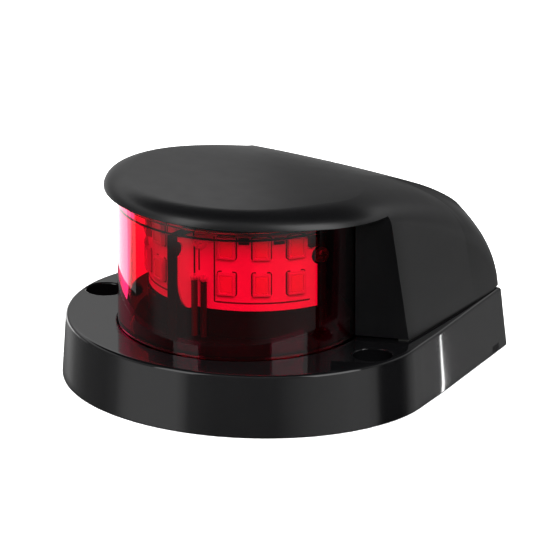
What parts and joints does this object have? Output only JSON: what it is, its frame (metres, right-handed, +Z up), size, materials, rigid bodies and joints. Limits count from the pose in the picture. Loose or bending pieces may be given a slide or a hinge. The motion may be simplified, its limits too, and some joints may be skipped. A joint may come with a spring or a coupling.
{
  "type": "boat bow side light",
  "caption": "Low bow side light: black visored cover over a red cylindrical lens on a rounded black base with two fixing screw holes.",
  "frame": {"origin": "middle of the underside's box, on the mounting face", "axes": "-Y is dead ahead (lens), +X is port, +Z is up"},
  "size_m": [0.0748, 0.0782, 0.0417],
  "materials": {
    "base_black": "polished black",
    "cover_black": "satin black",
    "carrier_black": "matt black",
    "rubber_black": "matt",
    "lens_red": "clear red moulding",
    "reflector_white": "matt white",
    "board_white": "white solder mask",
    "led_package": "white",
    "emitter": "phosphor under clear resin",
    "chip_black": "matt",
    "screw_black": "black",
    "screw_steel": "stainless",
    "lead_positive": "smooth dark brown insulation",
    "lead_negative": "smooth black insulation",
    "solder": "bright",
    "potting": "black resin"
  },
  "bodies": {
    "root": {"base_housing": "base_black", "base_seal_cord": "rubber_black", "cover": "cover_black", "cover_gasket": "rubber_black", "lens": "lens_red", "lens_bottom_seal": "rubber_black", "lens_top_seal": "rubber_black", "led_carrier": "carrier_black", "divider_reflectors": "reflector_white", "port_led_board": "board_white", "starboard_led_board": "board_white", "port_led_packages": "led_package", "starboard_led_packages": "led_package", "port_emitter_windows": "emitter", "starboard_emitter_windows": "emitter", "port_resistors": "chip_black", "starboard_resistors": "chip_black", "polarity_diodes": "chip_black", "board_screws": "screw_black", "carrier_screws": "screw_steel", "positive_leads": "lead_positive", "negative_leads": "lead_negative", "solder_joints": "solder", "potting_plug": "potting", "wire_grommet": "rubber_black", "cover_screws": "screw_steel"}
  },
  "joints": []
}
